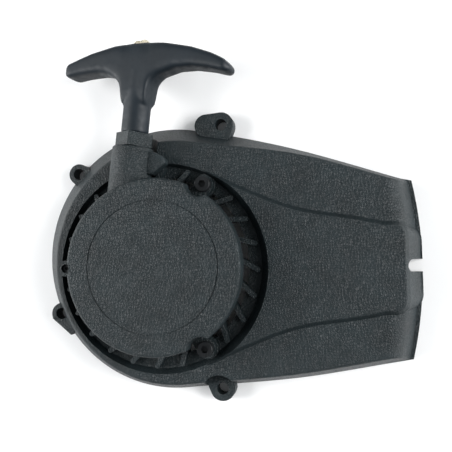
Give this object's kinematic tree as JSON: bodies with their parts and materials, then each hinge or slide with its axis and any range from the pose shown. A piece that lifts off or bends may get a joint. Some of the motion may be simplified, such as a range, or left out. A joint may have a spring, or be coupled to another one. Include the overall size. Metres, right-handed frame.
{
  "type": "recoil starter",
  "caption": "Pull starter with a ducted fan cowl: round recoil housing over swept air vanes, side spout, T-shaped pull handle, spring-loaded reel with swing-out pawls.",
  "frame": {"origin": "on the crank axis, in the plane of the cowl's mounting rim", "axes": "+Z outward, away from the engine; +X along the air duct towards its end; +Y towards the pull handle"},
  "size_m": [0.1777, 0.1668, 0.0355],
  "materials": {
    "cowl_plastic": "fine leather grain, black",
    "grip_plastic": "satin, black",
    "black_steel": "black oxide",
    "steel": "zinc plated",
    "pawl_steel": "hardened, oiled",
    "spring_steel": "blued",
    "brass": "knurled",
    "bush_bronze": "sintered bronze",
    "reel_nylon": "natural nylon",
    "rope": "braided, with dark flecks"
  },
  "bodies": {
    "starter_body": {"cowl": "cowl_plastic", "recoil_housing": "cowl_plastic", "housing_screws": "black_steel", "housing_screw_small": "black_steel", "screw_inserts": "brass", "rope_guide": "steel", "recoil_spring": "spring_steel", "spring_anchor_pin": "steel", "centre_bolt": "steel", "centre_washer": "steel"},
    "reel_body": {"reel": "reel_nylon", "reel_bush": "bush_bronze", "rope_coil": "rope", "reel_end_knot": "rope", "pawl_pins": "steel", "pawl_springs": "spring_steel", "brake_spring": "spring_steel"},
    "plate_body": {"friction_plate": "steel"},
    "pawl_1_body": {"pawl_1": "pawl_steel"},
    "pawl_2_body": {"pawl_2": "pawl_steel"},
    "handle_body": {"handle_grip": "grip_plastic", "handle_collar": "cowl_plastic", "handle_washer": "steel", "rope_knot": "rope", "rope_run": "rope"}
  },
  "joints": [
    {"name": "handle_pull", "type": "slide", "parent": "starter_body", "child": "handle_body", "axis": [0.1167, 0.9932, 0], "range_m": [0, 0.5], "stiffness_N_per_m": 10, "springref_m": -0.8},
    {"name": "reel_spin", "type": "hinge", "parent": "starter_body", "child": "reel_body", "pos_m": [0, 0, 0.021], "axis": [0, 0, 1], "range_deg": [-1670, 0]},
    {"name": "plate_turn", "type": "hinge", "parent": "reel_body", "child": "plate_body", "pos_m": [0, 0, 0.0114], "axis": [0, 0, 1], "range_deg": [0, 25], "stiffness_Nm_per_rad": 0.002, "springref_deg": -17.19},
    {"name": "pawl_1_swing", "type": "hinge", "parent": "reel_body", "child": "pawl_1_body", "pos_m": [0.01212, 0.007, 0.014], "axis": [0, 0, 1], "range_deg": [0, 35]},
    {"name": "pawl_2_swing", "type": "hinge", "parent": "reel_body", "child": "pawl_2_body", "pos_m": [-0.01212, -0.007, 0.014], "axis": [0, 0, 1], "range_deg": [0, 35]}
  ],
  "couplings": [
    {"joint": "reel_spin", "follows": "handle_pull", "rad_per_m": -58.139},
    {"joint": "pawl_1_swing", "follows": "plate_turn", "ratio": 1.4},
    {"joint": "pawl_2_swing", "follows": "plate_turn", "ratio": 1.4}
  ]
}
